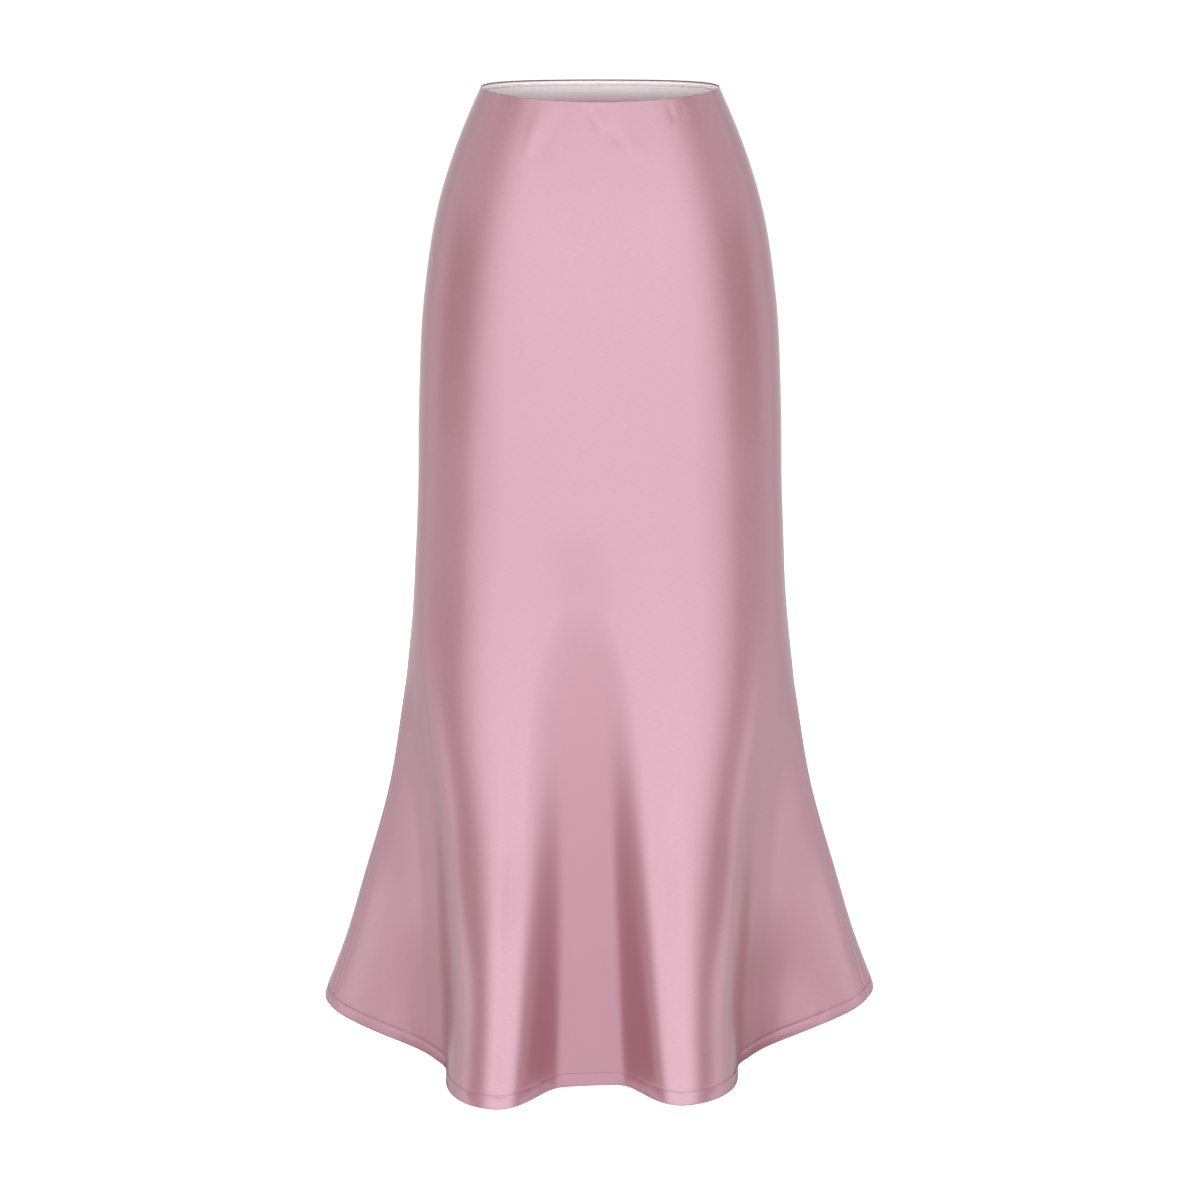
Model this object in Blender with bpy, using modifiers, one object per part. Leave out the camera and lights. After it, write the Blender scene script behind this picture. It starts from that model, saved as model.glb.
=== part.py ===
"""Mermaid skirt in bias-cut satin, filled out as it hangs when worn. Metres, +Z up.

The origin is the middle of the waist, which is where a wearer holds the skirt up.
The front faces -Y, and +X is the wearer's left. Two panels, front and back, meet at
the side seams, and an elastic band is sewn inside the waist edge. The cloth is one
closed tube of rings: each ring comes from a short table of body sections, and each
deep flare fold pushes the lower rings in or out. An azimuth is an angle in degrees
round the skirt, 0 at the middle of the front and 90 at the wearer's left side seam.
"""

from collections import namedtuple

import bpy
import numpy as np

COLLECTION = "mermaid_skirt"

LENGTH = 0.932  # waist edge to hem at the side seams, straight down
CLOTH = 0.0012  # wall that stands for the satin
HEM_TURN = 0.012  # height of the turned-up hem, which is two layers of cloth
HEM_STEP = 0.0005  # height over which the wall goes from one layer to two
SEAM_GAP = 0.0003  # between pieces that are sewn together
FRONT_DIP = 0.0065  # the waist edge is this much lower at the middle of the front
BACK_DIP = 0.002  # and this much lower at the middle of the back
HEM_LEAN = 0.0157  # drop of the hem for each metre towards the wearer's right
RING_SQUARENESS = 0.05  # how much fuller a ring is than an ellipse

ELASTIC_WALL = 0.0013
ELASTIC_HEIGHT = 0.032
ELASTIC_SETBACK = 0.0015  # the band's top edge lies this far below the cloth's edge

COLUMNS = 52  # cells across one panel, from side seam to side seam
BODY_ROWS = 21  # cells from the elastic's lower edge to the hem's turn
RING_SAMPLES = 1040  # points along half a ring when it is measured
NUDGE = 0.001  # step, in degrees and in metres, used to find which way the cloth faces
HALF_SPACE = 2.0  # side of the box that cuts away the other panel

FOLD_EASE = 0.06  # a fold fades in over about this share of its height
FOLD_SOFTNESS = 2.6  # how rounded a fold is where it starts
TINY = 1e-9  # keeps the middle of a fold clear of zero to a power

LEFT_SEAM = 90.0
RIGHT_SEAM = -90.0
FULL_TURN = 360.0

# Each row is a ring of the skirt before its folds, on a general figure.
Section = namedtuple("Section", "drop half_width front_depth back_depth")
SECTIONS = (
    Section(0.000, 0.1140, 0.0905, 0.0920),
    Section(0.040, 0.1318, 0.0985, 0.1040),
    Section(0.100, 0.1528, 0.1095, 0.1200),
    Section(0.200, 0.1710, 0.1180, 0.1330),
    Section(0.300, 0.1775, 0.1195, 0.1330),
    Section(0.400, 0.1803, 0.1205, 0.1310),
    Section(0.500, 0.1872, 0.1275, 0.1350),
    Section(0.600, 0.2022, 0.1450, 0.1500),
    Section(0.700, 0.2207, 0.1790, 0.1790),
    Section(0.800, 0.2524, 0.2290, 0.2200),
    Section(0.870, 0.2767, 0.2630, 0.2530),
    Section(0.932, 0.3038, 0.2960, 0.2840),
)

# Each row is a fold of the flare. Its middle moves from the azimuth high, where it
# starts, to the azimuth low at the hem. before and after are its half widths in degrees
# at the hem, on the side of smaller and of larger azimuth, and narrow_before and
# narrow_after are the shares of them that it has at its start. reach is how far it
# stands out at the hem, or goes in if negative. start is the drop at which it begins,
# and growth how late it deepens. At the hem, crisp is how sharp the edge of its floor
# is, and tail how short its shoulders are. sag is how far a valley sinks, as a share of
# how far it goes in, because its cloth goes less far out.
Fold = namedtuple(
    "Fold",
    "name high low before after narrow_before narrow_after reach start growth crisp tail sag",
)
FOLDS = (
    Fold("front_middle", -5.8, -2.7, 11.0, 12.6, 1.41, 0.91, -0.0846, 0.387, 1.14, 6.6, 6.9, 0.06),
    Fold("front_right_crest", -16.1, -16.1, 14.0, 10.4, 0.87, 0.87, 0.0091, 0.550, 0.95, 4.9, 3.7, 0.00),
    Fold("front_left_crest", 14.3, 14.3, 13.9, 12.0, 0.30, 0.30, 0.0029, 0.550, 0.95, 5.0, 3.0, 0.00),
    Fold("front_right", -86.6, -56.8, 37.5, 33.0, 0.31, 0.30, -0.1194, 0.454, 1.80, 2.7, 6.4, 0.22),
    Fold("front_left", 79.9, 54.4, 31.9, 38.2, 0.37, 0.43, -0.1340, 0.405, 2.14, 2.8, 5.7, 0.22),
    Fold("right_seam", -89.9, -89.9, 9.4, 9.6, 0.60, 0.60, 0.0103, 0.592, 0.50, 2.3, 2.4, 0.00),
    Fold("left_seam", 89.9, 89.9, 8.9, 9.7, 0.67, 0.67, 0.0137, 0.596, 0.64, 3.0, 2.5, 0.00),
    Fold("back_left", 112.0, 126.0, 15.0, 14.0, 0.40, 0.40, -0.0550, 0.500, 1.15, 4.0, 4.0, 0.12),
    Fold("back_middle_left", 166.0, 162.0, 11.0, 11.0, 0.35, 0.35, -0.0500, 0.540, 1.15, 4.0, 4.0, 0.12),
    Fold("back_middle_right", 192.0, 197.0, 11.0, 12.0, 0.35, 0.35, -0.0520, 0.500, 1.15, 4.0, 4.0, 0.12),
    Fold("back_right", 247.0, 233.0, 14.0, 15.0, 0.40, 0.40, -0.0600, 0.480, 1.15, 4.0, 4.0, 0.12),
)


def along_sections(measure, drop):
    """One measure of the sections at any drop, on a smooth curve through the table.

    Each span is a cubic, and the slope at a section is the mean of the slopes on its
    two sides, weighted towards the nearer neighbour.
    """
    drops = np.array([section.drop for section in SECTIONS])
    values = np.array([getattr(section, measure) for section in SECTIONS])
    spans = np.diff(drops)
    rises = np.diff(values) / spans
    slopes = np.concatenate([rises[:1], rises[1:], rises[-1:]])
    slopes[1:-1] = (rises[:-1] * spans[1:] + rises[1:] * spans[:-1]) / (spans[:-1] + spans[1:])
    cell = np.clip(np.searchsorted(drops, drop) - 1, 0, len(spans) - 1)
    t = (drop - drops[cell]) / spans[cell]
    start = (2 * t**3 - 3 * t**2 + 1) * values[cell]
    leave = (t**3 - 2 * t**2 + t) * spans[cell] * slopes[cell]
    end = (3 * t**2 - 2 * t**3) * values[cell + 1]
    arrive = (t**3 - t**2) * spans[cell] * slopes[cell + 1]
    return start + leave + end + arrive


def fold_moves(azimuth, drop):
    """How far the folds move the cloth outwards and down at each azimuth and drop."""
    push = np.zeros(np.broadcast(azimuth, drop).shape)
    sink = np.zeros_like(push)
    for fold in FOLDS:
        t = np.clip((drop - fold.start) / (LENGTH - fold.start), 0.0, 1.0)
        middle = fold.low + (fold.high - fold.low) * (1.0 - t) ** 2
        off = (azimuth - middle + FULL_TURN / 2) % FULL_TURN - FULL_TURN / 2
        before = fold.before * (fold.narrow_before + (1.0 - fold.narrow_before) * t)
        after = fold.after * (fold.narrow_after + (1.0 - fold.narrow_after) * t)
        width = np.where(off < 0, before, after)
        crisp = FOLD_SOFTNESS + (fold.crisp - FOLD_SOFTNESS) * t**2
        tail = FOLD_SOFTNESS + (fold.tail - FOLD_SOFTNESS) * t**2
        reach = fold.reach * t**fold.growth * t / (t + FOLD_EASE)
        one = reach / (1.0 + (np.abs(off / width) + TINY) ** crisp) ** (tail / crisp)
        push += one
        sink -= fold.sag * one
    return push, sink


def skirt_points(azimuth, drop):
    """Points on the outside of the cloth: a full ellipse, moved by the folds."""
    turn = np.radians(azimuth)
    across, along = np.sin(turn), np.cos(turn)
    half_width = along_sections("half_width", drop)
    front = along_sections("front_depth", drop)
    back = along_sections("back_depth", drop)
    depth = np.where(along > 0, front, back)
    facing_x, facing_y = across / half_width, -along / depth
    push, sink = fold_moves(azimuth, drop)
    push = push / np.hypot(facing_x, facing_y)
    x = half_width * across * (1.0 + RING_SQUARENESS * along**2) + facing_x * push
    y = -depth * along * (1.0 + RING_SQUARENESS * across**2) + facing_y * push
    share = drop / LENGTH
    dip = np.where(along > 0, FRONT_DIP, BACK_DIP) * along**2 * (1.0 - share) ** 2
    z = -drop - dip + HEM_LEAN * x * share**2 - sink
    return np.stack([x, y, z], axis=-1)


def skirt_normals(azimuth, drop):
    """Unit vectors that point straight out of the cloth."""
    round_it = skirt_points(azimuth + NUDGE, drop) - skirt_points(azimuth - NUDGE, drop)
    down_it = skirt_points(azimuth, drop + NUDGE) - skirt_points(azimuth, drop)
    facing = np.cross(down_it, round_it)
    return facing / np.linalg.norm(facing, axis=-1, keepdims=True)


def even_azimuths(drop, first, last):
    """Azimuths that share one panel's ring into cells of equal cloth."""
    fine = np.linspace(first, last, RING_SAMPLES)
    points = skirt_points(fine, np.full_like(fine, drop))
    steps = np.linalg.norm(np.diff(points, axis=0), axis=1)
    run = np.concatenate([[0.0], np.cumsum(steps)])
    return np.interp(np.linspace(0.0, run[-1], COLUMNS + 1), run, fine)


def ring_grid(drops):
    """Azimuths and drops of a closed tube's points, a row for each ring."""
    rings = []
    for drop in drops:
        front = even_azimuths(drop, RIGHT_SEAM, LEFT_SEAM)
        back = even_azimuths(drop, LEFT_SEAM, RIGHT_SEAM + FULL_TURN)
        rings.append(np.concatenate([front[:-1], back[:-1]]))
    azimuths = np.array(rings)
    return azimuths, np.broadcast_to(np.array(drops)[:, None], azimuths.shape)


def tube_mesh(name, points):
    """A mesh of quads on a closed tube whose points are rows of rings, top row first."""
    rows, columns = points.shape[:2]
    here = np.arange(rows * columns).reshape(rows, columns)
    right = np.roll(here, -1, axis=1)
    quads = np.stack([here[1:], right[1:], right[:-1], here[:-1]], axis=-1).reshape(-1, 4)
    mesh = bpy.data.meshes.new(name)
    mesh.from_pydata(points.reshape(-1, 3).tolist(), [], quads.tolist())
    mesh.shade_smooth()
    return mesh


def material(name, colour, roughness, sheen):
    """A Principled material for a cloth."""
    made = bpy.data.materials.new(name)
    made.use_nodes = True
    shader = made.node_tree.nodes["Principled BSDF"]
    shader.inputs["Base Color"].default_value = (*colour, 1.0)
    shader.inputs["Roughness"].default_value = roughness
    shader.inputs["Metallic"].default_value = 0.0
    shader.inputs["Sheen Weight"].default_value = sheen
    made.diffuse_color = (*colour, 1.0)
    return made


def add_object(name, mesh, collection, finish=None):
    """A mesh object in a collection, with its material if it has one."""
    made = bpy.data.objects.new(name, mesh)
    collection.objects.link(made)
    if finish:
        mesh.materials.append(finish)
    return made


def add_wall(thing, thickness):
    """Thickens an open surface inwards, so that the surface stays the outside."""
    wall = thing.modifiers.new("wall", "SOLIDIFY")
    wall.thickness = thickness
    wall.offset = -1.0
    wall.use_even_offset = True
    wall.use_rim = True
    return wall


def half_space_cutter(name, side, collection):
    """A box over all the cloth on one side of the seams, and half the seam's gap more."""
    bpy.ops.mesh.primitive_cube_add(size=HALF_SPACE)
    cutter = bpy.context.active_object
    cutter.name = name
    cutter.location = (0.0, side * (HALF_SPACE - SEAM_GAP) / 2, -LENGTH / 2)
    cutter.hide_render = True
    cutter.display_type = "WIRE"
    for holder in list(cutter.users_collection):
        holder.objects.unlink(cutter)
    collection.objects.link(cutter)
    return cutter


def add_panel(name, points, hem_rows, cutter, finish, collection):
    """One panel: the whole tube with its wall, less what lies beyond the side seams."""
    panel = add_object(name, tube_mesh(name, points), collection, finish)
    columns = points.shape[1]
    first = (points.shape[0] - hem_rows) * columns
    hem = panel.vertex_groups.new(name="turned_up_hem")
    hem.add(list(range(first, first + hem_rows * columns)), 1.0, "REPLACE")
    wall = add_wall(panel, 2 * CLOTH)
    wall.vertex_group = hem.name
    wall.thickness_vertex_group = 0.5
    cut = panel.modifiers.new("side_seams", "BOOLEAN")
    cut.operation = "DIFFERENCE"
    cut.object = cutter
    return panel


def add_elastic(name, finish, collection):
    """The elastic band: a ring just inside the cloth, with a wall of its own."""
    bottom = ELASTIC_SETBACK + ELASTIC_HEIGHT
    azimuths, drops = ring_grid(np.linspace(ELASTIC_SETBACK, bottom, 3))
    outside = skirt_points(azimuths, drops)
    inset = CLOTH + SEAM_GAP
    points = outside - skirt_normals(azimuths, drops) * inset
    band = add_object(name, tube_mesh(name, points), collection, finish)
    add_wall(band, ELASTIC_WALL)
    return band


def main():
    for thing in list(bpy.data.objects):
        bpy.data.objects.remove(thing, do_unlink=True)
    parts = bpy.data.collections.new(COLLECTION)
    cutters = bpy.data.collections.new("cutters")
    bpy.context.scene.collection.children.link(parts)
    bpy.context.scene.collection.children.link(cutters)

    band_bottom = ELASTIC_SETBACK + ELASTIC_HEIGHT
    hem_top = LENGTH - HEM_TURN
    waist_drops = [0.0, band_bottom / 2, band_bottom]
    body_drops = np.linspace(band_bottom, hem_top - HEM_STEP, BODY_ROWS + 1)[1:]
    hem_drops = [hem_top, LENGTH]
    drops = np.concatenate([waist_drops, body_drops, hem_drops])
    points = skirt_points(*ring_grid(drops))

    behind = half_space_cutter("cut_behind_seams", 1.0, cutters)
    ahead = half_space_cutter("cut_ahead_of_seams", -1.0, cutters)
    front_satin = material("dusty_pink_satin_front", (0.60, 0.34, 0.41), 0.34, 0.2)
    back_satin = material("dusty_pink_satin_back", (0.58, 0.33, 0.40), 0.34, 0.2)
    elastic = material("woven_elastic", (0.84, 0.80, 0.80), 0.75, 0.0)
    add_panel("front_panel", points, len(hem_drops), behind, front_satin, parts)
    add_panel("back_panel", points, len(hem_drops), ahead, back_satin, parts)
    add_elastic("waist_elastic", elastic, parts)


main()
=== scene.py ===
# %% [markdown]
# A long mermaid skirt in dusty pink satin, as it looks when it is worn by nobody: smooth over
# the hips, then flaring from the knee in deep folds. The real one is two panels cut on the
# bias, a side seam on each side, a band of elastic inside the waist and a narrow topstitched
# hem. The imported solids give the true form, so the first step is to load them as a frame.

# %% Load the frame
from collections import namedtuple

import bpy
import numpy as np
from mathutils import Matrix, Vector


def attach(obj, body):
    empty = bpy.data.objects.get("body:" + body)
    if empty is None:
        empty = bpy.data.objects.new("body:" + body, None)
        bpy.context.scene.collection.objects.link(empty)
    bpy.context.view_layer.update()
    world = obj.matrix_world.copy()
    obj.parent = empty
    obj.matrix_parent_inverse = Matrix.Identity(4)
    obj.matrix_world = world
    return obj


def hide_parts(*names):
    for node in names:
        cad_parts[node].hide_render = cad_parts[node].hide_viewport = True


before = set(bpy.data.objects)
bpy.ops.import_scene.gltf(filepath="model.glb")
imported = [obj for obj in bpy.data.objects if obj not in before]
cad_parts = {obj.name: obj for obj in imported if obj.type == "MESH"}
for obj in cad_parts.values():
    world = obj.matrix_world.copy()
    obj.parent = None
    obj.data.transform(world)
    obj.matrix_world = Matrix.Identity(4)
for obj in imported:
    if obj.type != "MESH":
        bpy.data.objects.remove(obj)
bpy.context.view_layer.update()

# %% [markdown]
# The camera comes first, because the framing decides how much detail each piece needs. The
# skirt is seen from the front and a little from above, from far enough away that it keeps
# its proportions. A long lens does that: 90 mm on a 36 mm sensor, 3 metres off.

# %% Place the camera
CAMERA_DISTANCE = 3.0
CAMERA_ELEVATION = np.radians(15.0)
CAMERA_TARGET = np.array([0.0, 0.0, -0.5088])
LENS_MM = 90.0
SENSOR_MM = 36.0

to_camera = np.array([0.0, -np.cos(CAMERA_ELEVATION), np.sin(CAMERA_ELEVATION)])
camera_data = bpy.data.cameras.new("studio_camera")
camera_data.lens = LENS_MM
camera_data.sensor_width = SENSOR_MM
camera = bpy.data.objects.new("studio_camera", camera_data)
camera.location = Vector(CAMERA_TARGET + CAMERA_DISTANCE * to_camera)
camera.rotation_euler = Vector(to_camera).to_track_quat("Z", "Y").to_euler()
bpy.context.scene.collection.objects.link(camera)
bpy.context.scene.camera = camera
print("camera at", np.array(camera.location).round(3))

# %% [markdown]
# The form of the cloth is a stack of rings. Each ring is a rather full ellipse, whose half
# width and two depths come from a short table of sections. A skirt could also be draped by a
# cloth simulation, but satin cut on the bias hangs in a few long, very smooth flutes, and a
# formula keeps those cleaner than a simulated mesh does. The same sections and folds make the
# solids, so the shell lies on them.

# %% Tables of the skirt's form
LENGTH = 0.932
FRONT_DIP = 0.0065
BACK_DIP = 0.002
HEM_LEAN = 0.0157
RING_SQUARENESS = 0.05
FOLD_EASE = 0.06
FOLD_SOFTNESS = 2.6
TINY = 1e-9
FULL_TURN = 360.0
LEFT_SEAM = 90.0
RIGHT_SEAM = -90.0

Section = namedtuple("Section", "drop half_width front_depth back_depth")
SECTIONS = (
    Section(0.000, 0.1140, 0.0905, 0.0920),
    Section(0.040, 0.1318, 0.0985, 0.1040),
    Section(0.100, 0.1528, 0.1095, 0.1200),
    Section(0.200, 0.1710, 0.1180, 0.1330),
    Section(0.300, 0.1775, 0.1195, 0.1330),
    Section(0.400, 0.1803, 0.1205, 0.1310),
    Section(0.500, 0.1872, 0.1275, 0.1350),
    Section(0.600, 0.2022, 0.1450, 0.1500),
    Section(0.700, 0.2207, 0.1790, 0.1790),
    Section(0.800, 0.2524, 0.2290, 0.2200),
    Section(0.870, 0.2767, 0.2630, 0.2530),
    Section(0.932, 0.3038, 0.2960, 0.2840),
)

Fold = namedtuple(
    "Fold", "name high low before after narrow_before narrow_after reach start growth crisp tail sag"
)
FOLDS = (
    Fold("front_middle", -5.8, -2.7, 11.0, 12.6, 1.41, 0.91, -0.0846, 0.387, 1.14, 6.6, 6.9, 0.06),
    Fold("front_right_crest", -16.1, -16.1, 14.0, 10.4, 0.87, 0.87, 0.0091, 0.550, 0.95, 4.9, 3.7, 0.00),
    Fold("front_left_crest", 14.3, 14.3, 13.9, 12.0, 0.30, 0.30, 0.0029, 0.550, 0.95, 5.0, 3.0, 0.00),
    Fold("front_right", -86.6, -56.8, 37.5, 33.0, 0.31, 0.30, -0.1194, 0.454, 1.80, 2.7, 6.4, 0.22),
    Fold("front_left", 79.9, 54.4, 31.9, 38.2, 0.37, 0.43, -0.1340, 0.405, 2.14, 2.8, 5.7, 0.22),
    Fold("right_seam", -89.9, -89.9, 9.4, 9.6, 0.60, 0.60, 0.0103, 0.592, 0.50, 2.3, 2.4, 0.00),
    Fold("left_seam", 89.9, 89.9, 8.9, 9.7, 0.67, 0.67, 0.0137, 0.596, 0.64, 3.0, 2.5, 0.00),
    Fold("back_left", 112.0, 126.0, 15.0, 14.0, 0.40, 0.40, -0.0550, 0.500, 1.15, 4.0, 4.0, 0.12),
    Fold("back_middle_left", 166.0, 162.0, 11.0, 11.0, 0.35, 0.35, -0.0500, 0.540, 1.15, 4.0, 4.0, 0.12),
    Fold("back_middle_right", 192.0, 197.0, 11.0, 12.0, 0.35, 0.35, -0.052, 0.500, 1.15, 4.0, 4.0, 0.12),
    Fold("back_right", 247.0, 233.0, 14.0, 15.0, 0.40, 0.40, -0.0600, 0.480, 1.15, 4.0, 4.0, 0.12),
)
print(len(SECTIONS), "sections and", len(FOLDS), "folds")


# %% Rings and folds
def along_sections(measure, drop):
    """One measure at any drop: a cubic in each span of the table, whose slope at a section is
    the mean of the slopes on its two sides, weighted towards the nearer neighbour."""
    drops = np.array([section.drop for section in SECTIONS])
    values = np.array([getattr(section, measure) for section in SECTIONS])
    spans = np.diff(drops)
    rises = np.diff(values) / spans
    slopes = np.concatenate([rises[:1], rises[1:], rises[-1:]])
    slopes[1:-1] = (rises[:-1] * spans[1:] + rises[1:] * spans[:-1]) / (spans[:-1] + spans[1:])
    cell = np.clip(np.searchsorted(drops, drop) - 1, 0, len(spans) - 1)
    t = (drop - drops[cell]) / spans[cell]
    start = (2 * t**3 - 3 * t**2 + 1) * values[cell]
    leave = (t**3 - 2 * t**2 + t) * spans[cell] * slopes[cell]
    end = (3 * t**2 - 2 * t**3) * values[cell + 1]
    arrive = (t**3 - t**2) * spans[cell] * slopes[cell + 1]
    return start + leave + end + arrive


def turned(azimuth):
    """An angle in degrees brought between minus and plus half a turn."""
    return (azimuth + FULL_TURN / 2) % FULL_TURN - FULL_TURN / 2


def one_fold(fold, azimuth, drop):
    """Push of one fold, and its mean half width in degrees. The push is the fold's reach,
    grown with drop, over a power of one plus a power of the distance from its middle in half
    widths. The inner power, crisp, makes the edge of its floor sharp, and both together,
    tail, let its shoulder run out."""
    t = np.clip((drop - fold.start) / (LENGTH - fold.start), 0.0, 1.0)
    off = turned(azimuth - fold.low - (fold.high - fold.low) * (1.0 - t) ** 2)
    before = fold.before * (fold.narrow_before + (1.0 - fold.narrow_before) * t)
    after = fold.after * (fold.narrow_after + (1.0 - fold.narrow_after) * t)
    width = np.where(off < 0, before, after)
    crisp = FOLD_SOFTNESS + (fold.crisp - FOLD_SOFTNESS) * t**2
    tail = FOLD_SOFTNESS + (fold.tail - FOLD_SOFTNESS) * t**2
    reach = fold.reach * t**fold.growth * t / (t + FOLD_EASE)
    push = reach / (1.0 + (np.abs(off / width) + TINY) ** crisp) ** (tail / crisp)
    return push, (before + after) / 2


def fold_moves(azimuth, drop):
    """Push of all the folds, and how far the cloth sinks: a valley's cloth goes less far out,
    so it reaches lower by the valley's share sag."""
    pushes = np.array([one_fold(fold, azimuth, drop)[0] for fold in FOLDS])
    sags = np.array([fold.sag for fold in FOLDS]).reshape((-1,) + (1,) * (pushes.ndim - 1))
    return pushes.sum(axis=0), -(pushes * sags).sum(axis=0)


def skirt_points(azimuth, drop):
    """Outside of the cloth: x and y are half width times sine and depth times cosine of the
    azimuth, a little fuller than an ellipse, plus the folds' push along the ring's normal.
    z is the drop, with the dip of the waist edge, the lean of the hem and the valleys' sink."""
    turn = np.radians(azimuth)
    across, along = np.sin(turn), np.cos(turn)
    half_width = along_sections("half_width", drop)
    depth = np.where(along > 0, along_sections("front_depth", drop), along_sections("back_depth", drop))
    facing_x, facing_y = across / half_width, -along / depth
    push, sink = fold_moves(azimuth, drop)
    push = push / np.hypot(facing_x, facing_y)
    x = half_width * across * (1.0 + RING_SQUARENESS * along**2) + facing_x * push
    y = -depth * along * (1.0 + RING_SQUARENESS * across**2) + facing_y * push
    share = drop / LENGTH
    dip = np.where(along > 0, FRONT_DIP, BACK_DIP) * along**2 * (1.0 - share) ** 2
    z = -drop - dip + HEM_LEAN * x * share**2 - sink
    return np.stack([x, y, z], axis=-1)


PAINTED_FOLD_OPEN = 0.3


def painted_fold_light_share(azimuth, drop):
    """How far the cloth is closed in by a fold, from 0 to 1, which sets how much painted light and
    shade it gets: the square root of the valley's depth over its half width on the ring, less the
    share of a fold that still lies open."""
    ring = along_sections("front_depth", drop)
    closed = np.zeros(np.broadcast(azimuth, drop).shape)
    for fold in FOLDS:
        push, width = one_fold(fold, azimuth, drop)
        closed = np.maximum(closed, -push / (np.radians(width) * ring))
    return np.sqrt(np.clip(closed - PAINTED_FOLD_OPEN, 0.0, 1.0))


NUDGE = 0.0005


def skirt_normals(azimuth, drop):
    """Unit vectors out of the cloth: the cross product of a step down and a step round."""
    round_it = skirt_points(azimuth + NUDGE, drop) - skirt_points(azimuth - NUDGE, drop)
    down_it = skirt_points(azimuth, drop + NUDGE) - skirt_points(azimuth, drop - NUDGE)
    facing = np.cross(down_it, round_it)
    return facing / np.linalg.norm(facing, axis=-1, keepdims=True)


waist_ring = skirt_points(np.linspace(0.0, FULL_TURN, 721), np.zeros(721))
hem_ring = skirt_points(np.linspace(0.0, FULL_TURN, 721), np.full(721, LENGTH))
for ring_name, ring in (("waist", waist_ring), ("hem", hem_ring)):
    girth = float(np.linalg.norm(np.diff(ring, axis=0), axis=1).sum())
    print(ring_name, "is", round(girth, 3), "m round")
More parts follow.
